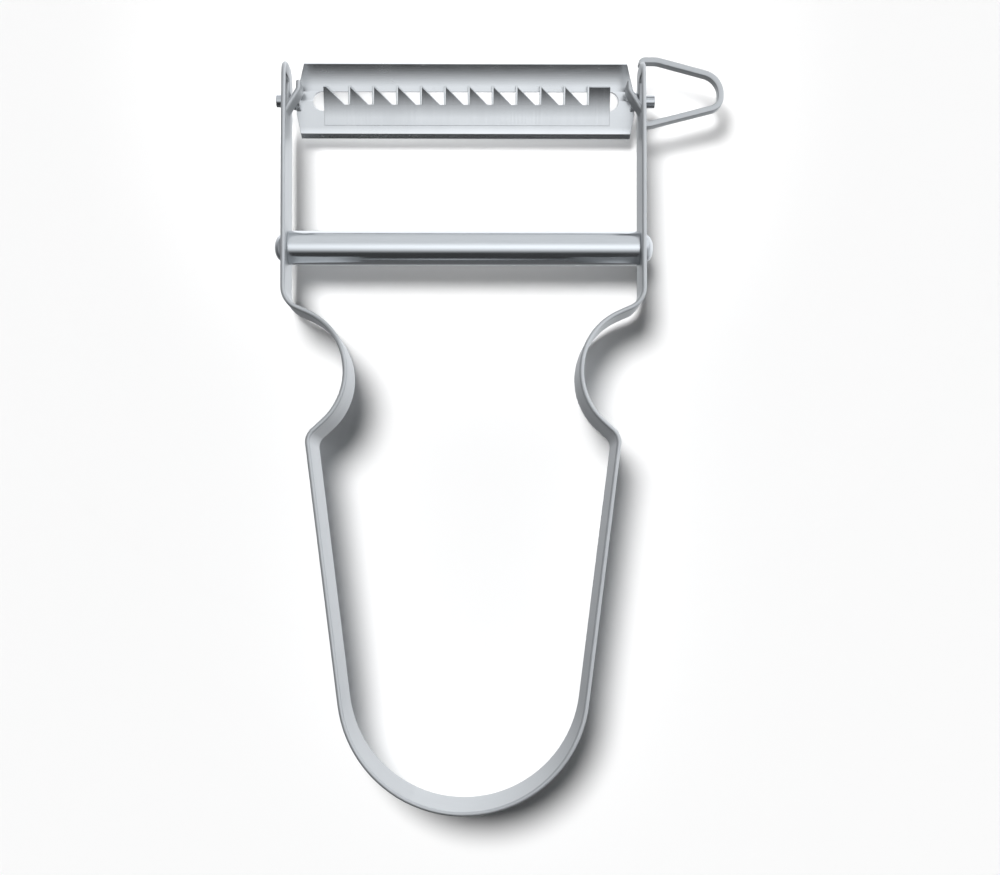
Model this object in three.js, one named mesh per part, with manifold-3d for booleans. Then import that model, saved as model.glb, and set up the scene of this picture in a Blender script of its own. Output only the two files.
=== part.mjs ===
// Julienne peeler: a bent steel strip carries a swivelling slotted blade with a toothed comb.
// X runs across the arms, Y from the bow of the handle towards the blade, Z out of the strip's rear edge.
// While it is built, the blade's swivel axis lies at Y = 0 and the strip's middle at Z = 0, in millimetres.
import * as THREE from 'three';
import { mergeVertices } from 'three/addons/utils/BufferGeometryUtils.js';
import Module from 'manifold-3d';

const wasm = await Module();
wasm.setup();

// Strip of the frame
const STRIP_THICKNESS = 0.7;
const ARM_WIDTH = 9;
const HANDLE_WIDTH = 14.2;
const FLARE_START = 30.6;
const FLARE_LENGTH = 11;

// Outline of the bow, outside sizes, with depths measured down from the swivel axis
const ARM_SPAN = 54.1;
const ARM_LENGTH = 29.2;
const SHOULDER_RADIUS = 3.7;
const HOLLOW_RADIUS = 9.5;
const HOLLOW_LEAD = 1.7;
const WAIST_WIDTH = 35.2;
const CORNER_RADIUS = 2.7;
const CORNER_LEAD = 2;
const PALM_WIDTH = 46.1;
const BOW_RADIUS = 18.4;
const HANDLE_LENGTH = 106.7;

// Ears at the ends of the strip, each with a stop prong cut out of it and bent inwards
const EAR_TIP = 5;
const EAR_RAIL = 0.5;
const EAR_HEEL = 1.5;
const SEAT_SETBACK = 0.55;
const PRONG_WIDTH = 3.9;
const PRONG_SETBACK = 0.5;
const PRONG_ROOT = 3.1;
const PRONG_SLIT = 0.15;
const PRONG_BEND = 0.6;
const PRONG_TILT = 33;
const PRONG_REACH = 2.1;
const PRONG_END = 1;

// Cross tube and its rivet
const TUBE_DROP = 22.75;
const TUBE_DIAMETER = 5.1;
const TUBE_WALL = 0.9;
const RIVET_DIAMETER = 3;
const RIVET_CLEARANCE = 0.06;
const HEAD_DIAMETER = 4.2;
const HEAD_HEIGHT = 1.35;

// Pressed blade carrier
const BLADE_END_GAP = 0.65;
const BLADE_ABOVE = 5.5;
const BLADE_BELOW = 5.5;
const BLADE_SHEET = 0.5;
const BLADE_TILT = 15;
const WALL_START = 0.8;
const WALL_RADIUS = 10.8;
const FLOOR_DROP = 0.2;
const LIP_STEP = 0.35;
const LIP_RAMP = 1.3;
const GRIND_WIDTH = 0.68;
const GRIND_DEPTH = 0.39;
const END_SLANT_ABOVE = 1.25;
const END_SLANT_BELOW = 0.65;
const END_FLAT_ABOVE = 1;
const END_FLAT_BELOW = 1.9;
const SLOT_ABOVE = 1.4;
const SLOT_BELOW = 1.4;
const SLOT_END_WALL = 2.5;
const LUG_THICKNESS = 0.7;
const LUG_RADIUS = 1.5;
const LUG_DROP = 1.1;

// Toothed comb on the floor of the blade carrier
const COMB_SHEET = 0.4;
const COMB_LEFT_GAP = 1.7;
const COMB_RIGHT_GAP = 1.3;
const COMB_FOOT_GAP = 1.27;
const COMB_SEAT = 1.15;
const COMB_RADIUS = 16.6;
const TOOTH_COUNT = 11;
const TOOTH_DEPTH = 2.7;
const TOOTH_OVERLAP = 0.85;
const TOOTH_VALLEY = 0.65;
const FIN_THICKNESS = 0.3;
const FIN_RISE = 0.1;
const END_BLOCK = 3.2;
const FIRST_TOOTH_LAND = 0.45;

// Swivel pins, set back from the middle of the strip, and the blade's place along their axis
const PIVOT_SETBACK = 2.2;
const BLADE_SHIFT = 0.2;
const PIN_DIAMETER = 1.9;
const PIN_CLEARANCE = 0.08;
const PIN_STANDOUT = 1.65;
const COLLAR_DIAMETER = 2.7;
const COLLAR_GAP = 0.3;

// Eye remover loop beside the right ear
const LOOP_THICKNESS = 0.9;
const LOOP_DEPTH = 1.9;
const LOOP_RISE = 1.1;
const LOOP_BEND = 1;
const LOOP_REACH = 12.05;
const LOOP_LEDGE = 1.3;
const LOOP_SWEEP = 4;
const NOSE_UPPER_RADIUS = 3.66;
const NOSE_LOWER_RADIUS = 2.33;
const NOSE_ABOVE = 0.6;
const NOSE_BELOW = 0.2;
const LOOP_RETURN = 14.4;
const LOOP_FOOT_DROP = 4.45;

// Facets
const ARC_STEPS = 10;
const ROUND_STEPS = 24;

// Places that several pieces share
const armOutside = ARM_SPAN / 2;
const armInside = armOutside - STRIP_THICKNESS;
const bladeHalf = armInside - BLADE_END_GAP;
const floorFront = -FLOOR_DROP;
const lipFront = floorFront - LIP_STEP;
const slotHalf = bladeHalf - SLOT_END_WALL;
const prongRear = -PRONG_SETBACK;
const prongFront = prongRear + PRONG_WIDTH;
const prongTurn = PRONG_BEND + STRIP_THICKNESS;
const seatRear = -SEAT_SETBACK - LOOP_DEPTH / 2;
const seatFront = seatRear + LOOP_DEPTH;
const pinRadius = PIN_DIAMETER / 2;
const rivetRadius = RIVET_DIAMETER / 2;

const alongX = new THREE.Matrix4().makeBasis(
  new THREE.Vector3(0, 1, 0),
  new THREE.Vector3(0, 0, 1),
  new THREE.Vector3(1, 0, 0),
);

function solidOf(geometry) {
  const bare = geometry.clone();
  bare.deleteAttribute('normal');
  bare.deleteAttribute('uv');
  const welded = mergeVertices(bare, 1e-5);
  return new wasm.Manifold(new wasm.Mesh({
    numProp: 3,
    vertProperties: welded.attributes.position.array,
    triVerts: Uint32Array.from(welded.index.array),
  }));
}

function geometryOf(solid) {
  const mesh = solid.getMesh();
  const geometry = new THREE.BufferGeometry();
  geometry.setAttribute('position', new THREE.BufferAttribute(mesh.vertProperties, 3));
  geometry.setIndex(new THREE.BufferAttribute(mesh.triVerts, 1));
  const flat = geometry.toNonIndexed();
  flat.computeVertexNormals();
  return flat;
}

// A plan outline in X and Y, raised from one Z level to another
function plate(shape, low, high) {
  const geometry = new THREE.ExtrudeGeometry(shape, {
    depth: high - low,
    bevelEnabled: false,
    curveSegments: ARC_STEPS,
  });
  return geometry.translate(0, 0, low);
}

// A section in Y and Z, drawn out from one X to another
function bar(shape, left, right) {
  const geometry = new THREE.ExtrudeGeometry(shape, {
    depth: right - left,
    bevelEnabled: false,
    curveSegments: ARC_STEPS,
  });
  return geometry.applyMatrix4(alongX).translate(left, 0, 0);
}

// A round piece about an axis along X at the given Y and Z
function turned(profile, y, z) {
  const points = profile.map(([radius, x]) => new THREE.Vector2(radius, x));
  const geometry = new THREE.LatheGeometry(points, ROUND_STEPS);
  return geometry.rotateZ(-Math.PI / 2).translate(0, y, z);
}

function rod(radius, left, right, y, z) {
  return turned([[0, left], [radius, left], [radius, right], [0, right]], y, z);
}

// Heading of the straight run between two bends; a bend to the left has a positive radius
function headingBetween(from, to) {
  const dx = to.x - from.x;
  const dy = to.y - from.y;
  return Math.atan2(dy, dx) - Math.asin((to.r - from.r) / Math.hypot(dx, dy));
}

// Points of one face of a bent strip: straight runs joined by arcs, moved to the left by the shift
function bentLine(bends, firstHeading, firstRun, lastHeading, lastRun, shift) {
  const headings = [firstHeading];
  for (let i = 1; i < bends.length; i += 1) {
    headings.push(headingBetween(bends[i - 1], bends[i]));
  }
  headings.push(lastHeading);
  const touch = (bend, heading) => new THREE.Vector2(
    bend.x + (bend.r - shift) * Math.sin(heading),
    bend.y - (bend.r - shift) * Math.cos(heading),
  );
  const ahead = (heading, length) => new THREE.Vector2(
    length * Math.cos(heading),
    length * Math.sin(heading),
  );
  const path = new THREE.Path();
  const start = touch(bends[0], firstHeading);
  const tail = start.clone().sub(ahead(firstHeading, firstRun));
  path.moveTo(tail.x, tail.y);
  path.lineTo(start.x, start.y);
  bends.forEach((bend, i) => {
    const radius = bend.r - shift;
    const quarter = radius > 0 ? -Math.PI / 2 : Math.PI / 2;
    const from = headings[i] + quarter;
    const to = headings[i + 1] + quarter;
    path.absarc(bend.x, bend.y, Math.abs(radius), from, to, radius < 0);
  });
  const last = touch(bends[bends.length - 1], lastHeading).add(ahead(lastHeading, lastRun));
  path.lineTo(last.x, last.y);
  return path.getPoints(ARC_STEPS);
}

// Plan outline of a bent strip whose right face runs through the bends
function bentStrip(bends, firstHeading, firstRun, lastHeading, lastRun, thickness) {
  const right = bentLine(bends, firstHeading, firstRun, lastHeading, lastRun, 0);
  const left = bentLine(bends, firstHeading, firstRun, lastHeading, lastRun, thickness);
  return right.concat(left.reverse());
}

const mirrored = (points) => points.map((point) => new THREE.Vector2(-point.x, point.y));
const UP = Math.PI / 2;
const DOWN = -Math.PI / 2;

// Bends of the left half of the bow, from the arm to the palm, then the bow itself
function bowBends() {
  const shoulder = { x: SHOULDER_RADIUS - armOutside, y: -ARM_LENGTH, r: SHOULDER_RADIUS };
  const hollow = { x: -WAIST_WIDTH / 2 - HOLLOW_RADIUS, r: -HOLLOW_RADIUS };
  const corner = { x: CORNER_RADIUS - PALM_WIDTH / 2, r: CORNER_RADIUS };
  const shoulderToHollow = Math.hypot(SHOULDER_RADIUS + HOLLOW_RADIUS, HOLLOW_LEAD);
  hollow.y = shoulder.y - Math.sqrt(shoulderToHollow ** 2 - (hollow.x - shoulder.x) ** 2);
  const hollowToCorner = Math.hypot(HOLLOW_RADIUS + CORNER_RADIUS, CORNER_LEAD);
  corner.y = hollow.y - Math.sqrt(hollowToCorner ** 2 - (corner.x - hollow.x) ** 2);
  const left = [shoulder, hollow, corner];
  const right = left.map((bend) => ({ ...bend, x: -bend.x })).reverse();
  return [...left, { x: 0, y: BOW_RADIUS - HANDLE_LENGTH, r: BOW_RADIUS }, ...right];
}

// Bends of the left prong: it leans in towards the blade and then stands upright again
function prongBends() {
  const root = { x: PRONG_BEND - armInside, y: -PRONG_ROOT, r: -PRONG_BEND };
  const back = { x: PRONG_REACH - armInside - prongTurn, r: prongTurn };
  const heading = UP - THREE.MathUtils.degToRad(PRONG_TILT);
  const across = (back.x - root.x) * Math.sin(heading);
  back.y = root.y + (back.r - root.r + across) / Math.cos(heading);
  return [root, back];
}

// Top of the window that the prong leaves in the ear: the prong's own length before it was bent
function windowTop() {
  const [root, back] = prongBends();
  const apart = Math.hypot(back.x - root.x, back.y - root.y);
  const straight = Math.sqrt(apart ** 2 - (back.r - root.r) ** 2);
  const bent = (back.r - root.r) * THREE.MathUtils.degToRad(PRONG_TILT);
  return -PRONG_ROOT + bent + straight + PRONG_END + PRONG_SLIT;
}

// Side view of the frame: wide handle, flared up to narrow arms, then the rounded ears
function frameSide() {
  const handleHalf = HANDLE_WIDTH / 2;
  const armHalf = ARM_WIDTH / 2;
  const flareTop = -FLARE_START;
  const flareBottom = flareTop - FLARE_LENGTH;
  const flareMiddle = (flareTop + flareBottom) / 2;
  const earFront = prongFront + PRONG_SLIT + EAR_RAIL;
  const below = -HANDLE_LENGTH - HANDLE_WIDTH;
  const side = new THREE.Shape();
  side.moveTo(below, handleHalf);
  side.lineTo(below, -handleHalf);
  side.lineTo(flareBottom, -handleHalf);
  side.bezierCurveTo(flareMiddle, -handleHalf, flareMiddle, -armHalf, flareTop, -armHalf);
  side.lineTo(EAR_HEEL, -armHalf);
  side.quadraticCurveTo(EAR_TIP, -armHalf, EAR_TIP, seatRear);
  side.lineTo(EAR_TIP, seatFront);
  side.quadraticCurveTo(EAR_TIP, earFront, windowTop(), earFront);
  side.lineTo(-PRONG_ROOT, armHalf);
  side.lineTo(flareTop, armHalf);
  side.bezierCurveTo(flareMiddle, armHalf, flareMiddle, handleHalf, flareBottom, handleHalf);
  return side;
}

function frameStrip() {
  const handleHalf = HANDLE_WIDTH / 2;
  const bow = bentStrip(bowBends(), DOWN, ARM_LENGTH + EAR_TIP, UP, ARM_LENGTH + EAR_TIP, STRIP_THICKNESS);
  const reach = Math.max(ARM_SPAN, PALM_WIDTH);
  let frame = solidOf(plate(new THREE.Shape(bow), -handleHalf, handleHalf));
  frame = frame.intersect(solidOf(bar(frameSide(), -reach, reach)));
  const opening = new THREE.Shape();
  opening.moveTo(-PRONG_ROOT, prongRear - PRONG_SLIT);
  opening.lineTo(windowTop(), prongRear - PRONG_SLIT);
  opening.lineTo(windowTop(), prongFront + PRONG_SLIT);
  opening.lineTo(-PRONG_ROOT, prongFront + PRONG_SLIT);
  frame = frame.subtract(solidOf(bar(opening, -reach, reach)));
  const prong = bentStrip(prongBends(), UP, STRIP_THICKNESS, UP, PRONG_END, STRIP_THICKNESS);
  for (const outline of [prong, mirrored(prong)]) {
    frame = frame.add(solidOf(plate(new THREE.Shape(outline), prongRear, prongFront)));
  }
  frame = frame.subtract(solidOf(rod(pinRadius + PIN_CLEARANCE, -reach, reach, 0, -PIVOT_SETBACK)));
  frame = frame.subtract(solidOf(rod(rivetRadius + RIVET_CLEARANCE, -reach, reach, -TUBE_DROP, 0)));
  return geometryOf(frame);
}

// Narrow strip from its seat on the right ear's tip, round the nose and back to the arm's outer face
function eyeRemoverLoop() {
  const left = armOutside - (STRIP_THICKNESS + LOOP_THICKNESS) / 2;
  const noseTip = armOutside + LOOP_REACH;
  const homeward = Math.PI + THREE.MathUtils.degToRad(LOOP_RETURN);
  const footBend = LOOP_BEND + LOOP_THICKNESS;
  const first = { x: left + LOOP_BEND, y: EAR_TIP + LOOP_RISE - LOOP_BEND, r: -LOOP_BEND };
  const ledge = { x: first.x + LOOP_LEDGE, y: EAR_TIP + LOOP_RISE - LOOP_SWEEP, r: -LOOP_SWEEP };
  const upper = { x: noseTip - NOSE_UPPER_RADIUS, y: NOSE_ABOVE, r: -NOSE_UPPER_RADIUS };
  const lower = { x: noseTip - NOSE_LOWER_RADIUS, y: NOSE_BELOW, r: -NOSE_LOWER_RADIUS };
  const foot = { y: footBend - LOOP_FOOT_DROP, r: -footBend };
  const fall = (foot.y - lower.y) * Math.cos(homeward);
  foot.x = lower.x + (fall - foot.r + lower.r) / Math.sin(homeward);
  const inward = [first, ledge, upper, lower, foot];
  const outer = bentLine(inward, UP, first.y - EAR_TIP, Math.PI, foot.x - armOutside, 0);
  const inner = bentLine(inward, UP, first.y - EAR_TIP, Math.PI, foot.x - armOutside, -LOOP_THICKNESS);
  const shape = new THREE.Shape(outer.concat(inner.reverse()));
  return plate(shape, seatRear, seatFront);
}

function crossTube() {
  const ring = new THREE.Shape();
  ring.absarc(-TUBE_DROP, 0, TUBE_DIAMETER / 2, 0, 2 * Math.PI, false);
  const bore = new THREE.Path();
  bore.absarc(-TUBE_DROP, 0, TUBE_DIAMETER / 2 - TUBE_WALL, 0, 2 * Math.PI, true);
  ring.holes.push(bore);
  return bar(ring, -armInside, armInside);
}

// Rivet with a low domed head at each end
function crossRivet() {
  const headRadius = HEAD_DIAMETER / 2;
  const dome = [];
  const domeSteps = 5;
  for (let i = 0; i <= domeSteps; i += 1) {
    const turn = (Math.PI / 2) * (i / domeSteps);
    dome.push([headRadius * Math.sin(turn), armOutside + HEAD_HEIGHT * Math.cos(turn)]);
  }
  const rightEnd = dome.slice().reverse();
  const leftEnd = dome.map(([radius, x]) => [radius, -x]);
  const profile = [...leftEnd, [rivetRadius, -armOutside], [rivetRadius, armOutside], ...rightEnd];
  return turned(profile, -TUBE_DROP, 0);
}

// Section of the carrier: curved upper wall, stepped lip, flat floor and a ground lower edge
function bladeSection() {
  const wallY = SLOT_ABOVE + WALL_START;
  const wallMiddle = lipFront + WALL_RADIUS;
  const wallEnd = DOWN + Math.asin((BLADE_ABOVE - wallY) / WALL_RADIUS);
  const rampEnd = SLOT_ABOVE - LIP_RAMP;
  const section = new THREE.Shape();
  section.absarc(wallY, wallMiddle, WALL_RADIUS, wallEnd, DOWN, true);
  section.lineTo(SLOT_ABOVE, lipFront);
  section.lineTo(rampEnd, floorFront);
  section.lineTo(GRIND_WIDTH - BLADE_BELOW, floorFront);
  section.lineTo(-BLADE_BELOW, floorFront - GRIND_DEPTH);
  section.lineTo(-BLADE_BELOW, floorFront - BLADE_SHEET);
  section.lineTo(rampEnd, floorFront - BLADE_SHEET);
  section.lineTo(SLOT_ABOVE, lipFront - BLADE_SHEET);
  section.absarc(wallY, wallMiddle, WALL_RADIUS + BLADE_SHEET, DOWN, wallEnd, false);
  return section;
}

function bladeTrough() {
  const rightEnd = [
    [bladeHalf - END_SLANT_BELOW, -BLADE_BELOW],
    [bladeHalf, -END_FLAT_BELOW],
    [bladeHalf, END_FLAT_ABOVE],
    [bladeHalf - END_SLANT_ABOVE, BLADE_ABOVE],
  ].map(([x, y]) => new THREE.Vector2(x, y));
  const plan = new THREE.Shape(rightEnd.concat(mirrored(rightEnd).reverse()));
  const slotRadius = (SLOT_ABOVE + SLOT_BELOW) / 2;
  const slotMiddle = (SLOT_ABOVE - SLOT_BELOW) / 2;
  const slot = new THREE.Shape();
  slot.absarc(slotHalf - slotRadius, slotMiddle, slotRadius, DOWN, UP, false);
  slot.absarc(slotRadius - slotHalf, slotMiddle, slotRadius, UP, UP + Math.PI, false);
  const tall = HANDLE_WIDTH;
  let blade = solidOf(bar(bladeSection(), -bladeHalf, bladeHalf));
  blade = blade.intersect(solidOf(plate(plan, -tall, tall)));
  blade = blade.subtract(solidOf(plate(slot, -tall, tall)));
  const lug = new THREE.Shape();
  lug.moveTo(-LUG_RADIUS, -LUG_DROP);
  lug.lineTo(LUG_RADIUS, -LUG_DROP);
  lug.absarc(0, 0, LUG_RADIUS, 0, Math.PI, false);
  blade = blade.add(solidOf(bar(lug, bladeHalf - LUG_THICKNESS, bladeHalf)));
  blade = blade.add(solidOf(bar(lug, -bladeHalf, LUG_THICKNESS - bladeHalf)));
  return geometryOf(blade);
}

// Section of the comb: flat where it is welded to the floor, then curved up towards the teeth
function combSection(foot, tip) {
  const bendY = foot + COMB_SEAT;
  const bendMiddle = floorFront + COMB_RADIUS;
  const bendEnd = DOWN + Math.asin((tip + COMB_SHEET - bendY) / COMB_RADIUS);
  const section = new THREE.Shape();
  section.moveTo(foot, floorFront);
  section.absarc(bendY, bendMiddle, COMB_RADIUS, DOWN, bendEnd, false);
  section.absarc(bendY, bendMiddle, COMB_RADIUS - COMB_SHEET, bendEnd, DOWN, true);
  section.lineTo(foot, floorFront + COMB_SHEET);
  return section;
}

// Plate with saw teeth over the slot, and a thin upright fin along the straight side of each tooth
function julienneComb() {
  const left = COMB_LEFT_GAP - slotHalf;
  const right = slotHalf - COMB_RIGHT_GAP;
  const firstTooth = left + FIRST_TOOTH_LAND;
  const pitch = (right - END_BLOCK - firstTooth) / TOOTH_COUNT;
  const slant = pitch - TOOTH_VALLEY - FIN_THICKNESS;
  const tip = SLOT_ABOVE + TOOTH_OVERLAP;
  const valley = tip - TOOTH_DEPTH;
  const foot = GRIND_WIDTH - BLADE_BELOW + COMB_FOOT_GAP;
  const middleAt = (y) => {
    const past = Math.max(0, y - foot - COMB_SEAT);
    return floorFront + COMB_RADIUS - Math.sqrt((COMB_RADIUS - COMB_SHEET / 2) ** 2 - past ** 2);
  };
  const finTop = middleAt(tip) + COMB_SHEET / 2 + FIN_RISE;
  const outline = new THREE.Shape();
  outline.moveTo(right, tip);
  outline.lineTo(right, foot).lineTo(left, foot).lineTo(left, tip);
  const fin = new THREE.Shape();
  fin.moveTo(valley - FIN_THICKNESS, middleAt(valley - FIN_THICKNESS));
  fin.lineTo(tip, middleAt(tip)).lineTo(tip, finTop).lineTo(valley, finTop);
  const fins = [];
  for (let i = 0; i < TOOTH_COUNT; i += 1) {
    const x = firstTooth + i * pitch;
    outline.lineTo(x, tip).lineTo(x + slant, valley).lineTo(x + pitch, valley);
    fins.push(bar(fin, x + pitch - FIN_THICKNESS, x + pitch));
  }
  outline.lineTo(right - END_BLOCK, tip);
  const tall = HANDLE_WIDTH;
  let comb = solidOf(bar(combSection(foot, tip), left, right));
  comb = comb.intersect(solidOf(plate(outline, -tall, tall)));
  fins.forEach((piece) => {
    comb = comb.add(solidOf(piece));
  });
  return geometryOf(comb);
}

// Pin on the outer face of the lug, with a collar that keeps the blade midway between the ears
function pivotPin(side) {
  const collarRadius = COLLAR_DIAMETER / 2;
  const collarEnd = armInside - COLLAR_GAP;
  const end = armOutside + PIN_STANDOUT;
  const profile = [
    [0, bladeHalf],
    [collarRadius, bladeHalf],
    [collarRadius, collarEnd],
    [pinRadius, collarEnd],
    [pinRadius, end],
    [0, end],
  ];
  const placed = side > 0 ? profile : profile.map(([radius, x]) => [radius, -x]).reverse();
  return turned(placed, 0, 0);
}

// The blade's pieces are drawn about their own axis, then tilted as it lies and moved to the holes in the ears
const restTilt = THREE.MathUtils.degToRad(BLADE_TILT);
const inEars = (geometry) => geometry.rotateX(restTilt).translate(BLADE_SHIFT, 0, -PIVOT_SETBACK);

const satinSteel = new THREE.MeshStandardMaterial({ color: 0xb8bcbf, roughness: 0.34, metalness: 1 });
const brightSteel = new THREE.MeshStandardMaterial({ color: 0xc4c8cb, roughness: 0.18, metalness: 1 });
const bladeSteel = new THREE.MeshStandardMaterial({ color: 0xc0c4c7, roughness: 0.26, metalness: 1 });
const brushedSteel = new THREE.MeshStandardMaterial({ color: 0xadb1b5, roughness: 0.38, metalness: 1 });

const pieces = [
  ['frame_strip', frameStrip(), satinSteel],
  ['eye_remover_loop', eyeRemoverLoop(), satinSteel],
  ['cross_tube', crossTube(), brightSteel],
  ['cross_rivet', crossRivet(), brightSteel],
  ['blade_trough', inEars(bladeTrough()), bladeSteel],
  ['julienne_comb', inEars(julienneComb()), brushedSteel],
  ['pivot_pin_left', inEars(pivotPin(-1)), brightSteel],
  ['pivot_pin_right', inEars(pivotPin(1)), brightSteel],
];

const peeler = new THREE.Group();
for (const [name, geometry, material] of pieces) {
  const mesh = new THREE.Mesh(geometry, material);
  mesh.name = name;
  peeler.add(mesh);
}

// The peeler lies on the rear edges of its handle, with its origin under the middle of its outline
const extent = new THREE.Box3().setFromObject(peeler);
const middle = extent.getCenter(new THREE.Vector3());
peeler.position.set(-middle.x, -middle.y, -extent.min.z);

export default peeler;
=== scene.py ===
"""Julienne peeler: a bent steel strip with a swivelling toothed blade, lying on a pale studio floor."""
import math

import bmesh
import bpy
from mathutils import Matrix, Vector


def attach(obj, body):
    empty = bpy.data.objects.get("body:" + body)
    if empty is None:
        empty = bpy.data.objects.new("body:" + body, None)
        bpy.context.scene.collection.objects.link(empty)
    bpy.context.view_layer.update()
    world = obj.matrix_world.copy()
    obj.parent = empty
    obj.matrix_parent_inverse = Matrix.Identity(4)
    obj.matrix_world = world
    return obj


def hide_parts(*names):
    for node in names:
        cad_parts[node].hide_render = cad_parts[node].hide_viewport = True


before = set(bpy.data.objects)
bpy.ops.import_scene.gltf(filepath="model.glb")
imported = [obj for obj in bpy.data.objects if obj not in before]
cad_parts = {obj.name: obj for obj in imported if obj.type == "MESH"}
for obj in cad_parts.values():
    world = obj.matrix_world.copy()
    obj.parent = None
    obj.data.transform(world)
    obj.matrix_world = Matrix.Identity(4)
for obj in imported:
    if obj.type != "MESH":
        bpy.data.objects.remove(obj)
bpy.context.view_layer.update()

# FRAME STRIP
# One stainless strip with tumbled, rounded edges. It is blanked flat with its holes and the slit round each
# stop prong, then bent into the ears, the arms, the finger hollows and the bow that lies in the hand.
# Sizes are millimetres from the swivel axis (Y) and the middle of the strip's width (Z).
ROW_ORIGIN = Vector((-5.3, 50.3, 7.1))
STRIP_THICKNESS = 0.7
STRIP_EDGE = 0.3
ARM_HALF_WIDTH = 4.5
HANDLE_HALF_WIDTH = 7.1
FLARE_TOP = -30.6
FLARE_BOTTOM = -41.6
ARM_OUTSIDE = 27.05
ARM_INSIDE = ARM_OUTSIDE - STRIP_THICKNESS
ARM_LENGTH = 29.2
SHOULDER_RADIUS = 3.7
HOLLOW_RADIUS = 9.5
HOLLOW_LEAD = 1.7
WAIST_HALF = 17.6
CORNER_RADIUS = 2.7
CORNER_LEAD = 2
PALM_HALF = 23.05
BOW_RADIUS = 18.4
HANDLE_LENGTH = 106.7
EAR_TIP = 5
EAR_HEEL = 1.5
EAR_FRONT = 4.05
SEAT_REAR = -1.5
SEAT_FRONT = 0.4
PRONG_ROOT = 3.1
PRONG_REAR = -0.5
PRONG_FRONT = 3.4
PRONG_SLIT = 0.15
PRONG_BEND = 0.6
PRONG_TILT = math.radians(33)
PRONG_REACH = 2.1
PRONG_END = 1
PIVOT_SETBACK = 2.2
PIN_HOLE_RADIUS = 1.03
TUBE_DROP = 22.75
RIVET_HOLE_RADIUS = 1.56
UP = math.pi / 2
BEND_STEP = math.radians(4)
SHARP_ANGLE = math.radians(35)
FLARE_STEPS = 24
STRIP_TRAIL_STEPS = 4000
FLAT_FACE = 0.999
PER_METRE = 1000


def in_row(x, y, z):
    """Point of the row frame, in metres, for a point in millimetres about the swivel axis."""
    return (Vector((x, y, z)) + ROW_ORIGIN) / PER_METRE


def pressed_blank(outlines, thickness, edge, edge_steps=3):
    """Flat sheet in the XY plane with rounded edges: the first outline is its rim, the others are holes."""
    curve = bpy.data.curves.new("blank", "CURVE")
    curve.dimensions = "2D"
    curve.fill_mode = "BOTH"
    curve.extrude = thickness / 2 - edge
    curve.bevel_depth = edge
    curve.bevel_resolution = edge_steps
    curve.offset = -edge
    for points in outlines:
        spline = curve.splines.new("POLY")
        spline.points.add(len(points) - 1)
        for place, (u, v) in zip(spline.points, points):
            place.co = (u, v, 0, 1)
        spline.use_cyclic_u = True
    holder = bpy.data.objects.new("blank", curve)
    bpy.context.scene.collection.objects.link(holder)
    flat = bpy.data.meshes.new_from_object(holder.evaluated_get(bpy.context.evaluated_depsgraph_get()))
    blank = bmesh.new()
    blank.from_mesh(flat)
    bpy.data.objects.remove(holder)
    bpy.data.curves.remove(curve)
    bpy.data.meshes.remove(flat)
    bmesh.ops.remove_doubles(blank, verts=blank.verts, dist=1e-4)
    blank.normal_update()
    sheet_face = blank.faces.layers.int.new("sheet_face")
    for face in blank.faces:
        face[sheet_face] = abs(face.normal.z) > FLAT_FACE
    return blank


def score_lines(blank, direction, places):
    """Cuts the blank's faces across the given direction, so that it can bend there."""
    for place in places:
        parts = blank.verts[:] + blank.edges[:] + blank.faces[:]
        bmesh.ops.bisect_plane(blank, geom=parts, dist=1e-5, plane_co=direction * place, plane_no=direction)


def run_of(pieces, start, heading):
    """Follows straight and curved pieces (length, turn).

    It gives a function from the distance along them to a place and a heading.
    """
    marks = []
    travelled, x, y = 0.0, *start
    for length, turn in pieces:
        marks.append((travelled, x, y, heading, turn / length))
        x, y, heading = ahead(x, y, heading, turn / length, length)
        travelled += length

    def at(distance):
        mark = next((m for m in reversed(marks) if m[0] <= distance), marks[0])
        return ahead(*mark[1:], distance - mark[0])

    return at


def ahead(x, y, heading, curvature, length):
    """Place and heading after going a length along a line of constant curvature."""
    onward = heading + curvature * length
    if abs(curvature) < 1e-9:
        return x + length * math.cos(heading), y + length * math.sin(heading), heading
    x += (math.sin(onward) - math.sin(heading)) / curvature
    y -= (math.cos(onward) - math.cos(heading)) / curvature
    return x, y, onward


def bend_places(pieces, step):
    """Distances at which a run needs a score line, closer where it is curved."""
    places, travelled = [], 0.0
    for length, turn in pieces:
        count = max(1, math.ceil(abs(turn) / step))
        places += [travelled + length * i / count for i in range(count)]
        travelled += length
    return places[1:] + [travelled]


def round_hole(u, v, radius, count=48):
    """Closed outline of a round hole."""
    turns = [2 * math.pi * i / count for i in range(count)]
    return [(u + radius * math.cos(turn), v + radius * math.sin(turn)) for turn in turns]


def curve_through(start, control, end, count=12):
    """Points of a curve that leaves the start towards the control and comes into the end from it."""
    points = []
    for i in range(1, count + 1):
        t = i / count
        parts = zip(start, control, end)
        points.append(tuple((1 - t) ** 2 * a + 2 * (1 - t) * t * b + t ** 2 * c for a, b, c in parts))
    return points


def shade_as_sheet(mesh):
    """Gives the sheet's two faces smooth normals of their own, which the rounded edges don't pull on."""
    on_sheet = mesh.attributes["sheet_face"].data
    toward = [Vector() for vertex in mesh.vertices]
    for face in mesh.polygons:
        if on_sheet[face.index].value:
            for corner in face.vertices:
                toward[corner] += face.normal * face.area
    normals = []
    for loop, corner in zip(mesh.loops, mesh.corner_normals):
        sheet_normal = toward[loop.vertex_index]
        normals.append(sheet_normal.normalized() if sheet_normal.length else corner.vector.copy())
    mesh.normals_split_custom_set(normals)


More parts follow.
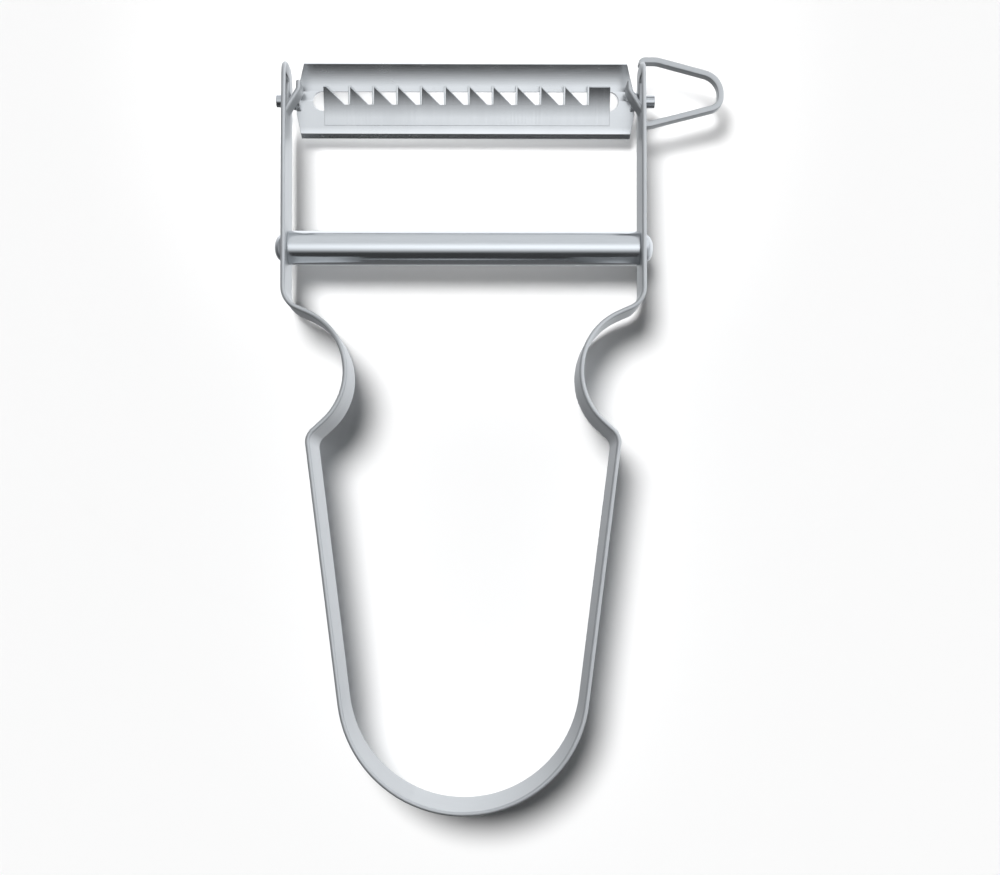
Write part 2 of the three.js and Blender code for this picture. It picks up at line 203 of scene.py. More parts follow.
def finished_piece(name, shells, body, node, material):
    """Turns shells in row metres into one smooth piece that rides a body and stands for a CAD node."""
    whole = bmesh.new()
    mesh = bpy.data.meshes.new(name)
    for shell in shells:
        bmesh.ops.recalc_face_normals(shell, faces=shell.faces)
        if shell.calc_volume(signed=True) < 0:
            bmesh.ops.reverse_faces(shell, faces=shell.faces)
        shell.to_mesh(mesh)
        shell.free()
        whole.from_mesh(mesh)
    whole.to_mesh(mesh)
    whole.free()
    mesh.shade_smooth()
    mesh.set_sharp_from_angle(angle=SHARP_ANGLE)
    piece = bpy.data.objects.new(name, mesh)
    bpy.context.scene.collection.objects.link(piece)
    if "sheet_face" in mesh.attributes:
        shade_as_sheet(mesh)
    else:
        piece.modifiers.new("even_shading", "WEIGHTED_NORMAL").keep_sharp = True
    mesh.materials.append(material)
    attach(piece, body)
    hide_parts(node)


def linear(hex_colour):
    """Linear colour with alpha from an sRGB hex value."""
    parts = [int(hex_colour[i:i + 2], 16) / 255 for i in (1, 3, 5)]
    return [c / 12.92 if c <= 0.04045 else ((c + 0.055) / 1.055) ** 2.4 for c in parts] + [1]


def add_node(tree, kind, settings, links=()):
    """Adds a node, sets its sockets or properties by name, and links (socket, source) pairs into it."""
    node = tree.nodes.new(kind)
    for name, value in settings.items():
        if name in node.inputs:
            node.inputs[name].default_value = value
        else:
            setattr(node, name, value)
    for name, source in links:
        tree.links.new(source, node.inputs[name])
    return node


def drawn_steel(name, light, dark, roughness, spread, streak, wave, depth):
    """Stainless steel with fine marks.

    It takes two tones, a roughness and its spread. Then, in millimetres, it takes the marks' sizes along X, Y
    and Z, the size of the cloudy patches and the marks' depth. The marks are drawn coarser than real ones, so
    that they show in the render.
    """
    material = bpy.data.materials.new(name)
    material.use_nodes = True
    tree = material.node_tree
    shader = tree.nodes["Principled BSDF"]
    shader.inputs["Metallic"].default_value = 1
    place = add_node(tree, "ShaderNodeTexCoord", {})
    marks_at = add_node(tree, "ShaderNodeMapping", {"Scale": [PER_METRE / size for size in streak]},
                        [("Vector", place.outputs["Object"])])
    marks = add_node(tree, "ShaderNodeTexNoise", {"Scale": 1, "Detail": 3, "Roughness": 0.6},
                     [("Vector", marks_at.outputs["Vector"])])
    clouds = add_node(tree, "ShaderNodeTexNoise", {"Scale": PER_METRE / wave, "Detail": 2},
                      [("Vector", place.outputs["Object"])])
    tone = add_node(tree, "ShaderNodeMix", {"data_type": "RGBA"}, [("Factor", marks.outputs["Fac"])])
    tone.inputs[6].default_value = linear(dark)
    tone.inputs[7].default_value = linear(light)
    mixed = add_node(tree, "ShaderNodeMath", {"operation": "ADD"},
                     [(0, marks.outputs["Fac"]), (1, clouds.outputs["Fac"])])
    gloss_range = {"From Min": 0.6, "From Max": 1.4,
                   "To Min": roughness - spread, "To Max": roughness + spread}
    gloss = add_node(tree, "ShaderNodeMapRange", gloss_range, [("Value", mixed.outputs["Value"])])
    relief = add_node(tree, "ShaderNodeBump", {"Strength": 1, "Distance": depth / PER_METRE},
                      [("Height", marks.outputs["Fac"])])
    tree.links.new(tone.outputs[2], shader.inputs["Base Color"])
    tree.links.new(gloss.outputs["Result"], shader.inputs["Roughness"])
    tree.links.new(relief.outputs["Normal"], shader.inputs["Normal"])
    return material


def bent_pieces(bends, heading, first_run, last_heading, last_run, shift):
    """Straight and curved pieces of a bent strip's middle line.

    The bends are (x, y, radius) of one face, with a positive radius for a turn to the left, and the middle
    line runs to the left of that face by the shift.
    """
    pieces = [(first_run, 0)]
    for here, following in zip(bends, bends[1:]):
        across, along = following[0] - here[0], following[1] - here[1]
        apart = math.hypot(across, along)
        change = following[2] - here[2]
        onward = math.atan2(along, across) - math.asin(change / apart)
        turn = onward - heading
        pieces += [(turn * (here[2] - shift), turn), (math.sqrt(apart ** 2 - change ** 2), 0)]
        heading = onward
    turn = last_heading - heading
    return pieces + [(turn * (bends[-1][2] - shift), turn), (last_run, 0)]


def bow_bends():
    """Bends of the left half of the strip's outer face, from the shoulder to the bow."""
    shoulder = (SHOULDER_RADIUS - ARM_OUTSIDE, -ARM_LENGTH, SHOULDER_RADIUS)
    hollow_x = -WAIST_HALF - HOLLOW_RADIUS
    drop = math.hypot(SHOULDER_RADIUS + HOLLOW_RADIUS, HOLLOW_LEAD) ** 2 - (hollow_x - shoulder[0]) ** 2
    hollow = (hollow_x, shoulder[1] - math.sqrt(drop), -HOLLOW_RADIUS)
    corner_x = CORNER_RADIUS - PALM_HALF
    drop = math.hypot(HOLLOW_RADIUS + CORNER_RADIUS, CORNER_LEAD) ** 2 - (corner_x - hollow_x) ** 2
    corner = (corner_x, hollow[1] - math.sqrt(drop), CORNER_RADIUS)
    return [shoulder, hollow, corner, (0, BOW_RADIUS - HANDLE_LENGTH, BOW_RADIUS)]


half_bow = bent_pieces(bow_bends(), -UP, ARM_LENGTH + EAR_TIP, 0, 0, STRIP_THICKNESS / 2)[:-1]
half_length = sum(length for length, turn in half_bow)
bow_at = run_of(half_bow, (STRIP_THICKNESS / 2 - ARM_OUTSIDE, EAR_TIP), -UP)

prong_turn = PRONG_BEND + STRIP_THICKNESS
prong_gap = PRONG_REACH - prong_turn - PRONG_BEND
prong_rise = (prong_turn + PRONG_BEND + prong_gap * math.cos(PRONG_TILT)) / math.sin(PRONG_TILT)
prong_straight = math.sqrt(prong_gap ** 2 + prong_rise ** 2 - (prong_turn + PRONG_BEND) ** 2)
prong_arc = PRONG_TILT * (PRONG_BEND + STRIP_THICKNESS / 2)
prong_pieces = [(prong_arc, -PRONG_TILT), (prong_straight, 0), (prong_arc, PRONG_TILT), (PRONG_END, 0)]
prong_length = sum(length for length, turn in prong_pieces)
prong_at = run_of(prong_pieces, (-ARM_INSIDE - STRIP_THICKNESS / 2, -PRONG_ROOT), UP)
prong_tip = prong_length - PRONG_ROOT
window_top = prong_tip + PRONG_SLIT


def strip_edge(sign, tip, ear):
    """Half of the blank's edge on one side, from tip to bow: distance from the tip, and place across."""
    points = [(0, tip)] + [(EAR_TIP - y, z) for y, z in ear]
    trail = [half_length * i / STRIP_TRAIL_STEPS for i in range(STRIP_TRAIL_STEPS + 1)]
    depths = [bow_at(s)[1] for s in trail]
    for i in range(FLARE_STEPS + 1):
        t = i / FLARE_STEPS
        ease = 3 * t ** 2 - 2 * t ** 3
        middle = (FLARE_TOP + FLARE_BOTTOM) / 2
        depth = (1 - t) ** 3 * FLARE_TOP + 3 * t * (1 - t) * middle + t ** 3 * FLARE_BOTTOM
        s = next(place for place, y in zip(trail, depths) if y <= depth)
        points.append((s, sign * (ARM_HALF_WIDTH + ease * (HANDLE_HALF_WIDTH - ARM_HALF_WIDTH))))
    return points


front_ear = curve_through((EAR_TIP, SEAT_FRONT), (EAR_TIP, EAR_FRONT), (window_top, EAR_FRONT))
front_edge = strip_edge(1, SEAT_FRONT, front_ear + [(-PRONG_ROOT, ARM_HALF_WIDTH)])
rear_ear = curve_through((EAR_TIP, SEAT_REAR), (EAR_TIP, -ARM_HALF_WIDTH), (EAR_HEEL, -ARM_HALF_WIDTH))
rear_edge = strip_edge(-1, SEAT_REAR, rear_ear)
rim = front_edge + [(2 * half_length - s, z) for s, z in reversed(front_edge)]
rim += [(2 * half_length - s, z) for s, z in rear_edge] + list(reversed(rear_edge))
slit = [(-PRONG_ROOT, PRONG_REAR - PRONG_SLIT), (window_top, PRONG_REAR - PRONG_SLIT),
        (window_top, PRONG_FRONT + PRONG_SLIT), (-PRONG_ROOT, PRONG_FRONT + PRONG_SLIT),
        (-PRONG_ROOT, PRONG_FRONT), (prong_tip, PRONG_FRONT), (prong_tip, PRONG_REAR),
        (-PRONG_ROOT, PRONG_REAR)]
left_holes = [[(EAR_TIP - y, z) for y, z in slit],
              round_hole(EAR_TIP, -PIVOT_SETBACK, PIN_HOLE_RADIUS),
              round_hole(EAR_TIP + TUBE_DROP, 0, RIVET_HOLE_RADIUS)]
right_holes = [[(2 * half_length - s, z) for s, z in hole] for hole in left_holes]
strip = pressed_blank([rim] + left_holes + right_holes, STRIP_THICKNESS, STRIP_EDGE)
bow_scores = bend_places(half_bow, BEND_STEP)
prong_scores = [EAR_TIP + PRONG_ROOT - place for place in [0] + bend_places(prong_pieces, BEND_STEP)[:-1]]
all_scores = bow_scores + prong_scores + [2 * half_length - s for s in bow_scores[:-1] + prong_scores]
score_lines(strip, Vector((1, 0, 0)), all_scores)
for vertex in strip.verts:
    s, z, inward = vertex.co
    side = 1 if s <= half_length else -1
    s = s if side > 0 else 2 * half_length - s
    level = EAR_TIP - s
    on_prong = -PRONG_ROOT < level < prong_tip + PRONG_SLIT / 2 \
        and PRONG_REAR - PRONG_SLIT / 2 < z < PRONG_FRONT + PRONG_SLIT / 2
    if on_prong:
        x, y, heading = prong_at(level + PRONG_ROOT)
        inward = -inward
    else:
        x, y, heading = bow_at(s)
    x -= inward * math.sin(heading)
    y += inward * math.cos(heading)
    vertex.co = in_row(side * x, y, z)

# Tumbled strip: a soft satin, so that each face has one even grey, with faint marks across it.
strip_steel = drawn_steel("tumbled_stainless_strip", "#c9cbcd", "#bcbec0", 0.5, 0.05,
                          (2.5, 2.5, 0.25), 6, 0.002)
finished_piece("bent_strip", [strip], "handle", "frame_strip", strip_steel)

# EYE REMOVER LOOP
# A narrow strip of the same steel, bent on edge into a pointed loop beside the right ear. Its upper end
# stands on the ear's tip and its lower end meets the arm, both spot welded.
LOOP_THICKNESS = 0.9
LOOP_EDGE = 0.16
LOOP_RISE = 1.1
LOOP_BEND = 1
LOOP_REACH = 12.05
LOOP_LEDGE = 1.3
LOOP_SWEEP = 4
NOSE_UPPER_RADIUS = 3.66
NOSE_LOWER_RADIUS = 2.33
NOSE_ABOVE = 0.6
NOSE_BELOW = 0.2
LOOP_RETURN = math.radians(14.4)
LOOP_FOOT_DROP = 4.45
LOOP_FOOT_BEND = LOOP_BEND + LOOP_THICKNESS

seat_x = ARM_OUTSIDE - STRIP_THICKNESS / 2
nose_tip = ARM_OUTSIDE + LOOP_REACH
top_bend = (seat_x - LOOP_THICKNESS / 2 + LOOP_BEND, EAR_TIP + LOOP_RISE - LOOP_BEND, -LOOP_BEND)
ledge_bend = (top_bend[0] + LOOP_LEDGE, EAR_TIP + LOOP_RISE - LOOP_SWEEP, -LOOP_SWEEP)
upper_nose = (nose_tip - NOSE_UPPER_RADIUS, NOSE_ABOVE, -NOSE_UPPER_RADIUS)
lower_nose = (nose_tip - NOSE_LOWER_RADIUS, NOSE_BELOW, -NOSE_LOWER_RADIUS)
foot_y = LOOP_FOOT_BEND - LOOP_FOOT_DROP
foot_fall = (NOSE_BELOW - foot_y) * math.cos(LOOP_RETURN) - NOSE_LOWER_RADIUS + LOOP_FOOT_BEND
foot_x = lower_nose[0] - foot_fall / math.sin(LOOP_RETURN)
loop_bends = [top_bend, ledge_bend, upper_nose, lower_nose, (foot_x, foot_y, -LOOP_FOOT_BEND)]
loop_pieces = bent_pieces(loop_bends, UP, top_bend[1] - EAR_TIP, -math.pi, foot_x - ARM_OUTSIDE,
                          -LOOP_THICKNESS / 2)
loop_at = run_of(loop_pieces, (seat_x, EAR_TIP), UP)
loop_length = sum(length for length, turn in loop_pieces)
loop_rim = [(0, SEAT_REAR), (loop_length, SEAT_REAR), (loop_length, SEAT_FRONT), (0, SEAT_FRONT)]
loop = pressed_blank([loop_rim], LOOP_THICKNESS, LOOP_EDGE)
score_lines(loop, Vector((1, 0, 0)), bend_places(loop_pieces, BEND_STEP)[:-1])
for vertex in loop.verts:
    s, z, leftward = vertex.co
    x, y, heading = loop_at(s)
    vertex.co = in_row(x - leftward * math.sin(heading), y + leftward * math.cos(heading), z)
finished_piece("bent_loop", [loop], "handle", "eye_remover_loop", strip_steel)

# CROSS TUBE
# A spacer tube of polished stainless steel, cut to length. It keeps the arms apart, and its ends butt
# against the inside of both.
TUBE_RADIUS = 2.55
TUBE_BORE_RADIUS = 1.65
TUBE_EDGE = 0.12
EASE_STEPS = 6


def eased(points, reach):
    """Open profile with each inner corner rounded off over the given reach."""
    soft = [points[0]]
    for before, corner, after in zip(points, points[1:], points[2:]):
        start = Vector(corner).lerp(Vector(before), reach / math.dist(corner, before))
        end = Vector(corner).lerp(Vector(after), reach / math.dist(corner, after))
        soft += [tuple(start)] + curve_through(start, corner, end, EASE_STEPS)
    return soft + [points[-1]]


def turned(profile, y, z, closed=False, count=96):
    """Round shell about an axis along X: the profile holds (x, radius), and a radius of 0 is a point."""
    shell = bmesh.new()
    rings = []
    for x, radius in profile:
        turns = [2 * math.pi * i / count for i in range(count if radius > 1e-6 else 1)]
        places = [in_row(x, y + radius * math.cos(t), z + radius * math.sin(t)) for t in turns]
        rings.append([shell.verts.new(place) for place in places])
    for ring, following in list(zip(rings, rings[1:])) + ([(rings[-1], rings[0])] if closed else []):
        for i in range(count):
            corners = [ring[i % len(ring)], ring[(i + 1) % len(ring)],
                       following[(i + 1) % len(following)], following[i % len(following)]]
            shell.faces.new(list(dict.fromkeys(corners)))
    return shell


tube_outside = eased([(-ARM_INSIDE, TUBE_BORE_RADIUS), (-ARM_INSIDE, TUBE_RADIUS),
                      (ARM_INSIDE, TUBE_RADIUS), (ARM_INSIDE, TUBE_BORE_RADIUS)], TUBE_EDGE)
# Polished tube: a bright line and a dark line run along it, with hardly a mark.
tube_steel = drawn_steel("polished_stainless_tube", "#d2d5d8", "#c8cbce", 0.16, 0.03,
                         (4, 0.4, 0.4), 8, 0.0005)
finished_piece("spacer_tube", [turned(tube_outside, -TUBE_DROP, 0, closed=True)], "handle",
               "cross_tube", tube_steel)

# CROSS RIVET
# A rivet of bright stainless bar through the tube and both arms. A low domed head is set against the outside
# of each arm.
RIVET_RADIUS = 1.5
HEAD_RADIUS = 2.1
HEAD_HEIGHT = 1.35
HEAD_STEPS = 12

head_turns = [UP * i / HEAD_STEPS for i in range(HEAD_STEPS + 1)]
head = [(ARM_OUTSIDE + HEAD_HEIGHT * math.sin(turn), HEAD_RADIUS * math.cos(turn)) for turn in head_turns]
head[-1] = (ARM_OUTSIDE + HEAD_HEIGHT, 0)
right_half = [(ARM_OUTSIDE, RIVET_RADIUS)] + head
rivet_profile = [(-x, radius) for x, radius in reversed(right_half)] + right_half
# Bright bar: small crisp lights on the heads and the pins.
pin_steel = drawn_steel("bright_stainless_bar", "#c6c9cc", "#b6b9bd", 0.2, 0.04, (0.5, 0.5, 0.5), 3, 0.001)
finished_piece("spacer_rivet", [turned(rivet_profile, -TUBE_DROP, 0)], "handle", "cross_rivet",
               pin_steel)

# BLADE TROUGH
# Thin stainless sheet pressed into a shallow trough: a curved upper wall, a lip that steps down to the
# cutting edge of the long slot, and a flat floor whose foot turns up to a ground lower edge. A lug stands
# up at each end for the swivel pin.
BLADE_SHIFT = 0.2
BLADE_SHEET = 0.5
BLADE_EDGE = 0.05
BLADE_HALF = 25.7
BLADE_TILT = math.radians(15)
BLADE_ABOVE = 5.5
BLADE_BELOW = 5.5
WALL_START = 0.8
WALL_RADIUS = 10.8
FLOOR_FRONT = -0.2
LIP_STEP = 0.35
LIP_RAMP = 1.3
CREASE_RADIUS = 0.5
GRIND_WIDTH = 0.68
GRIND_DEPTH = 0.39
GRIND_LINE = 0.03
FOOT_EASE = 1.65
FOOT_RISE = math.radians(11)
END_SLANT_ABOVE = 1.25
END_SLANT_BELOW = 0.65
END_FLAT_ABOVE = 1
END_FLAT_BELOW = 1.9
SLOT_ABOVE = 1.4
SLOT_BELOW = 1.4
SLOT_HALF = 23.2
LUG_THICKNESS = 0.7
LUG_RADIUS = 1.5
LUG_DROP = 1.1
LUG_EDGE = 0.15
TROUGH_TRAIL_STEPS = 3000
END_STEPS = 60
HALF_TURN_STEPS = 24


def on_blade(x, y, z):
    """Point of the row frame for a point in millimetres about the blade's own axis, before it is tilted."""
    tilted_y = y * math.cos(BLADE_TILT) - z * math.sin(BLADE_TILT)
    tilted_z = y * math.sin(BLADE_TILT) + z * math.cos(BLADE_TILT)
    return in_row(x + BLADE_SHIFT, tilted_y, tilted_z - PIVOT_SETBACK)


lip_front = FLOOR_FRONT - LIP_STEP
wall_y = SLOT_ABOVE + WALL_START
wall_turn = math.asin((BLADE_ABOVE - wall_y) / WALL_RADIUS)
wall_middle = WALL_RADIUS + BLADE_SHEET / 2
ramp_angle = math.atan2(LIP_STEP, LIP_RAMP)
crease = CREASE_RADIUS * ramp_angle
crease_reach = CREASE_RADIUS * math.tan(ramp_angle / 2)
ramp_end = SLOT_ABOVE - LIP_RAMP
trough_pieces = [(wall_middle * wall_turn, -wall_turn), (WALL_START - crease_reach, 0),
                 (crease, -ramp_angle), (math.hypot(LIP_STEP, LIP_RAMP) - 2 * crease_reach, 0),
                 (crease, ramp_angle), (ramp_end - crease_reach + BLADE_BELOW - FOOT_EASE, 0),
                 (FOOT_EASE, -FOOT_RISE)]
trough_width = sum(length for length, turn in trough_pieces)
rim_start = (wall_y + wall_middle * math.sin(wall_turn),
             lip_front + WALL_RADIUS - wall_middle * math.cos(wall_turn))
trough_at = run_of(trough_pieces, rim_start, wall_turn - math.pi)
trough_trail = [trough_width * i / TROUGH_TRAIL_STEPS for i in range(TROUGH_TRAIL_STEPS + 1)]
trough_levels = [trough_at(v)[0] for v in trough_trail]


def across_trough(level):
    """Distance across the flat sheet, from the upper rim, to a height Y on the pressed trough."""
    return next(v for v, y in zip(trough_trail, trough_levels) if y <= level)


def end_of_blade(level):
    """Half length of the blade at a height Y."""
    if level > END_FLAT_ABOVE:
        return BLADE_HALF - END_SLANT_ABOVE * (level - END_FLAT_ABOVE) / (BLADE_ABOVE - END_FLAT_ABOVE)
    if level < -END_FLAT_BELOW:
        return BLADE_HALF - END_SLANT_BELOW * (level + END_FLAT_BELOW) / (END_FLAT_BELOW - BLADE_BELOW)
    return BLADE_HALF


end_steps = [trough_width * i / END_STEPS for i in range(END_STEPS + 1)]
right_end = [(end_of_blade(trough_at(v)[0]), v) for v in end_steps]
trough_rim = right_end + [(-x, v) for x, v in reversed(right_end)]
slot_radius = (SLOT_ABOVE + SLOT_BELOW) / 2
slot_middle = (SLOT_ABOVE - SLOT_BELOW) / 2
slot_turns = [UP - math.pi * i / HALF_TURN_STEPS for i in range(HALF_TURN_STEPS + 1)]
slot_end = [(SLOT_HALF - slot_radius + slot_radius * math.cos(t), slot_middle + slot_radius * math.sin(t))
            for t in slot_turns]
slot = [(x, across_trough(y)) for x, y in slot_end]
slot += [(-x, v) for x, v in reversed(slot)]
trough = pressed_blank([trough_rim, slot], BLADE_SHEET, BLADE_EDGE)
grind_start = trough_width - GRIND_WIDTH
trough_scores = bend_places(trough_pieces, BEND_STEP / 2)[:-1] + [grind_start, grind_start + GRIND_LINE]
score_lines(trough, Vector((0, 1, 0)), trough_scores)
for vertex in trough.verts:
    x, v, rearward = vertex.co
    ground = max(0, v - grind_start) * GRIND_DEPTH / GRIND_WIDTH
    rearward = max(rearward, ground - BLADE_SHEET / 2)
    y, z, heading = trough_at(v)
    vertex.co = on_blade(x, y - rearward * math.sin(heading), z + rearward * math.cos(heading))
lug_turns = [math.pi * i / HALF_TURN_STEPS for i in range(HALF_TURN_STEPS + 1)]
lug_rim = [(-LUG_RADIUS, -LUG_DROP), (LUG_RADIUS, -LUG_DROP)]
lug_rim += [(LUG_RADIUS * math.cos(t), LUG_RADIUS * math.sin(t)) for t in lug_turns]


def upright(rim, thickness, edge, across):
    """Plate with rounded edges that stands across the blade at an X: its rim holds (y, z)."""
    plate = pressed_blank([rim], thickness, edge)
    for vertex in plate.verts:
        y, z, x = vertex.co
        vertex.co = on_blade(across + x, y, z)
    return plate


lug_x = BLADE_HALF - LUG_THICKNESS / 2
lugs = [upright(lug_rim, LUG_THICKNESS, LUG_EDGE, side * lug_x) for side in (-1, 1)]
# Pressed sheet: it mirrors softly, from a dark rim to a pale floor, with fine marks along the blade.
blade_steel = drawn_steel("pressed_stainless_sheet", "#d8dadc", "#d0d2d4", 0.25, 0.04,
                          (3, 0.5, 0.5), 5, 0.001)
finished_piece("pressed_trough", [trough] + lugs, "blade", "blade_trough", blade_steel)

# JULIENNE COMB
# A ground stainless plate spot welded on the trough's floor. It curves up towards the tips of its saw
# teeth, which stand over the slot, and a thin upright fin along the straight side of each tooth slits strips.
COMB_SHEET = 0.4
COMB_EDGE = 0.04
COMB_LEFT_GAP = 1.7
COMB_RIGHT_GAP = 1.3
COMB_FOOT_GAP = 1.27
COMB_LEFT = COMB_LEFT_GAP - SLOT_HALF
COMB_RIGHT = SLOT_HALF - COMB_RIGHT_GAP
COMB_FOOT = GRIND_WIDTH - BLADE_BELOW + COMB_FOOT_GAP
COMB_SEAT = 1.15
COMB_RADIUS = 16.6
TOOTH_COUNT = 11
TIP_OVER_SLOT = 0.85
TOOTH_DEPTH = 2.7
TOOTH_TIP = SLOT_ABOVE + TIP_OVER_SLOT
TOOTH_ROOT = TOOTH_TIP - TOOTH_DEPTH
TOOTH_VALLEY = 0.65
END_BLOCK = 3.2
FIRST_TOOTH_LAND = 0.45
FIN_THICKNESS = 0.3
FIN_RISE = 0.1
FIN_EDGE = 0.04

first_tooth = COMB_LEFT + FIRST_TOOTH_LAND
tooth_pitch = (COMB_RIGHT - END_BLOCK - first_tooth) / TOOTH_COUNT
comb_rim = [(COMB_RIGHT, TOOTH_TIP), (COMB_RIGHT, COMB_FOOT), (COMB_LEFT, COMB_FOOT),
            (COMB_LEFT, TOOTH_TIP)]
for i in range(TOOTH_COUNT):
    x = first_tooth + i * tooth_pitch
    comb_rim += [(x, TOOTH_TIP), (x + tooth_pitch - TOOTH_VALLEY - FIN_THICKNESS, TOOTH_ROOT),
                 (x + tooth_pitch, TOOTH_ROOT)]
comb_rim.append((COMB_RIGHT - END_BLOCK, TOOTH_TIP))
comb_middle = COMB_RADIUS - COMB_SHEET / 2
comb_turn = math.asin((TOOTH_TIP - COMB_FOOT - COMB_SEAT) / comb_middle)
comb_pieces = [(COMB_SEAT, 0), (comb_middle * comb_turn, comb_turn)]
comb_at = run_of(comb_pieces, (COMB_FOOT, FLOOR_FRONT + COMB_SHEET / 2), 0)
comb = pressed_blank([comb_rim], COMB_SHEET, COMB_EDGE, 2)
comb_scores = [COMB_FOOT + s for s in bend_places(comb_pieces, BEND_STEP / 4)[:-1]]
score_lines(comb, Vector((0, 1, 0)), comb_scores)
for vertex in comb.verts:
    x, v, frontward = vertex.co
    y, z, heading = comb_at(v - COMB_FOOT)
    vertex.co = on_blade(x, y - frontward * math.sin(heading), z + frontward * math.cos(heading))
fin_root = (TOOTH_ROOT, comb_at(TOOTH_ROOT - COMB_FOOT)[1])
fin_tip_middle = comb_at(TOOTH_TIP - COMB_FOOT)[1]
fin_top = fin_tip_middle + COMB_SHEET / 2 + FIN_RISE
fin_rim = [fin_root, (TOOTH_TIP, fin_tip_middle), (TOOTH_TIP, fin_top), (TOOTH_ROOT, fin_top)]
fin_places = [first_tooth + (i + 1) * tooth_pitch - FIN_THICKNESS / 2 for i in range(TOOTH_COUNT)]
fins = [upright(fin_rim, FIN_THICKNESS, FIN_EDGE, fin_x) for fin_x in fin_places]
# Ground comb: fine upright lines break up its soft mirror, which is dark at the tips and pale at the foot.
comb_steel = drawn_steel("ground_stainless_comb", "#d8dadc", "#c6c8ca", 0.22, 0.05,
                         (0.22, 7, 7), 5, 0.006)
finished_piece("saw_comb", [comb] + fins, "blade", "julienne_comb", comb_steel)

# SWIVEL PINS
# Bright stainless bar, turned down beside a thin collar and fixed in the end lugs. The collar stays inside
# the ear, and a stub shows outside it.
PIN_RADIUS = 0.95
PIN_STANDOUT = 1.65
COLLAR_RADIUS = 1.35
COLLAR_GAP = 0.3
PIN_EDGE = 0.1

collar_end = ARM_INSIDE - COLLAR_GAP
stub_end = ARM_OUTSIDE + PIN_STANDOUT
pin_profile = eased([(BLADE_HALF, 0), (BLADE_HALF, COLLAR_RADIUS), (collar_end, COLLAR_RADIUS),
                     (collar_end, PIN_RADIUS), (stub_end, PIN_RADIUS), (stub_end, 0)], PIN_EDGE)
for side, hand in ((-1, "left"), (1, "right")):
    placed = [(side * x + BLADE_SHIFT, radius) for x, radius in pin_profile]
    finished_piece(f"swivel_pin_{hand}", [turned(placed, 0, -PIVOT_SETBACK)], "blade",
                   f"pivot_pin_{hand}", pin_steel)

# STUDIO FLOOR, LIGHT AND CAMERA
# A pale matt board that sweeps up at its rim, with a soft key lamp on the upper left and two small lamps at
# the lens, which soften the shadows and light the board behind the slot. The tent shows in the steel alone:
# it is bright overhead and on the far and right sides, and darker toward the handle and the left.
SWEEP = [(0, 0), (1.8, 0), (2.3, 0.05), (2.8, 0.18), (3.3, 0.38), (3.7, 0.6)]
SWEEP_STEPS = 64
SWEEP_MERGE = 0.0001
OVERHEAD_AXIS = (0, -0.156, 0.988)
OVERHEAD_REACH = math.radians(38)
FAR_AXIS = (0.3, 0.72, 0.62)
BRIGHT_SIDE_AXIS = (0.5, 0.866, 0)
KEY_STRENGTH = 3.45
KEY_WIDTH = math.radians(22)
KEY_HEADING = Vector((0.24, -0.34, -1))
CAMERA_PLACE = in_row(3.5246, -66.7959, 242.42)
CAMERA_TURN = (0.0209, -0.0077, 0)
CAMERA_SENSOR = 36
CAMERA_LENS = 58.277
CAMERA_SHIFT = 0.07
CAMERA_CLIP = 0.01

board = bmesh.new()
sweep_verts = [board.verts.new((radius, 0, height)) for radius, height in SWEEP]
sweep_edges = [board.edges.new(pair) for pair in zip(sweep_verts, sweep_verts[1:])]
bmesh.ops.spin(board, geom=sweep_verts + sweep_edges, cent=(0, 0, 0), axis=(0, 0, 1), angle=2 * math.pi,
               steps=SWEEP_STEPS, use_merge=True)
bmesh.ops.remove_doubles(board, verts=board.verts, dist=SWEEP_MERGE)
floor_mesh = bpy.data.meshes.new("studio_floor")
board.to_mesh(floor_mesh)
board.free()
floor_mesh.shade_smooth()
floor = bpy.data.objects.new("studio_floor", floor_mesh)
bpy.context.scene.collection.objects.link(floor)
# Matt card: an even white that takes soft shadows and shows no gloss.
matt_card = bpy.data.materials.new("matt_white_board")
matt_card.use_nodes = True
card_shader = matt_card.node_tree.nodes["Principled BSDF"]
card_shader.inputs["Base Color"].default_value = linear("#f7f7f7")
card_shader.inputs["Roughness"].default_value = 0.9
card_shader.inputs["Specular IOR Level"].default_value = 0
floor_mesh.materials.append(matt_card)
floor.visible_glossy = False

world = bpy.data.worlds.new("studio_tent")
world.use_nodes = True
tent = world.node_tree
facing = add_node(tent, "ShaderNodeTexCoord", {}).outputs["Generated"]
split = add_node(tent, "ShaderNodeSeparateXYZ", {}, [("Vector", facing)])
toward = []
for axis in (FAR_AXIS, OVERHEAD_AXIS, BRIGHT_SIDE_AXIS):
    dot = add_node(tent, "ShaderNodeVectorMath", {"operation": "DOT_PRODUCT"}, [(0, facing)])
    dot.inputs[1].default_value = axis
    toward.append(dot.outputs["Value"])
toward_far, toward_top, toward_bright = toward
from_top = add_node(tent, "ShaderNodeMath", {"operation": "ARCCOSINE"}, [(0, toward_top)])
ramps = [("far", toward_far, "SMOOTHSTEP", (0.32, 0.88), (0.06, 0.96)),
         ("overhead", from_top.outputs["Value"], "SMOOTHSTEP", (OVERHEAD_REACH, 0), (0, 1.25)),
         ("right", split.outputs["X"], "LINEAR", (0.1, 1), (0, 0.8)),
         ("left", split.outputs["X"], "LINEAR", (-0.5, -1), (0, 0.5)),
         ("below", split.outputs["Z"], "SMOOTHSTEP", (0.1, -0.3), (0, 1)),
         ("table", toward_bright, "SMOOTHSTEP", (-0.6, 0.6), (0.16, 1.5))]
glows = {}
for name, source, blend, reach, strength in ramps:
    settings = {"interpolation_type": blend, "From Min": reach[0], "From Max": reach[1],
                "To Min": strength[0], "To Max": strength[1]}
    glows[name] = add_node(tent, "ShaderNodeMapRange", settings, [("Value", source)]).outputs["Result"]
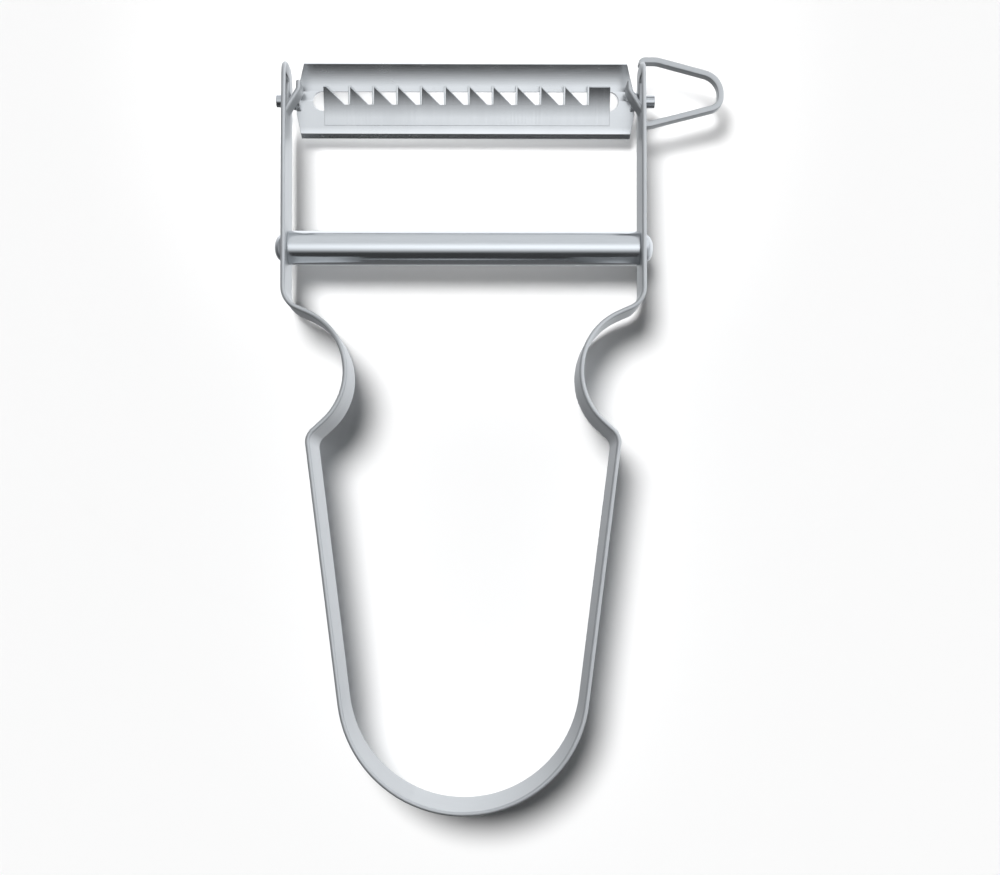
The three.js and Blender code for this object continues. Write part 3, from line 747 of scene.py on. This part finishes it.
upper = glows["far"]
for name in ("overhead", "right", "left"):
    upper = add_node(tent, "ShaderNodeMath", {"operation": "ADD"}, [(0, upper), (1, glows[name])])
    upper = upper.outputs["Value"]
whole_tent = add_node(tent, "ShaderNodeMix", {},
                      [("Factor", glows["below"]), ("A", upper), ("B", glows["table"])])
tent.nodes["Background"].inputs["Color"].default_value = linear("#f9fcff")
tent.links.new(whole_tent.outputs["Result"], tent.nodes["Background"].inputs["Strength"])
bpy.context.scene.world = world
world.cycles_visibility.diffuse = False

key_data = bpy.data.lights.new("key_soft_light", "SUN")
key_data.energy = KEY_STRENGTH
key_data.angle = KEY_WIDTH
key = bpy.data.objects.new("key_soft_light", key_data)
key.rotation_euler = KEY_HEADING.to_track_quat("-Z", "Y").to_euler()
key.visible_glossy = False
bpy.context.scene.collection.objects.link(key)

AT_LENS = [("front_fill", 1.2, 22, (1, 1, 1), 0.02, (0, 8, -7)),
           ("slot_light", 2, 2.2, (10, 1, 1), 0.001, (0, 0.6, -9))]
for name, watts, cone, stretch, softness, aim in AT_LENS:
    lamp_data = bpy.data.lights.new(name, "SPOT")
    lamp_data.energy = watts
    lamp_data.spot_size = math.radians(cone)
    lamp_data.spot_blend = 1
    lamp_data.shadow_soft_size = softness
    lamp = bpy.data.objects.new(name, lamp_data)
    lamp.location = CAMERA_PLACE
    lamp.rotation_euler = (Vector(in_row(*aim)) - lamp.location).to_track_quat("-Z", "Y").to_euler()
    lamp.scale = stretch
    lamp.visible_glossy = False
    bpy.context.scene.collection.objects.link(lamp)

camera_data = bpy.data.cameras.new("camera")
camera_data.sensor_width = CAMERA_SENSOR
camera_data.lens = CAMERA_LENS
camera_data.shift_y = CAMERA_SHIFT
camera_data.clip_start = CAMERA_CLIP
camera = bpy.data.objects.new("camera", camera_data)
camera.location = CAMERA_PLACE
camera.rotation_euler = CAMERA_TURN
bpy.context.scene.collection.objects.link(camera)
bpy.context.scene.camera = camera
bpy.context.scene.view_settings.view_transform = "Standard"
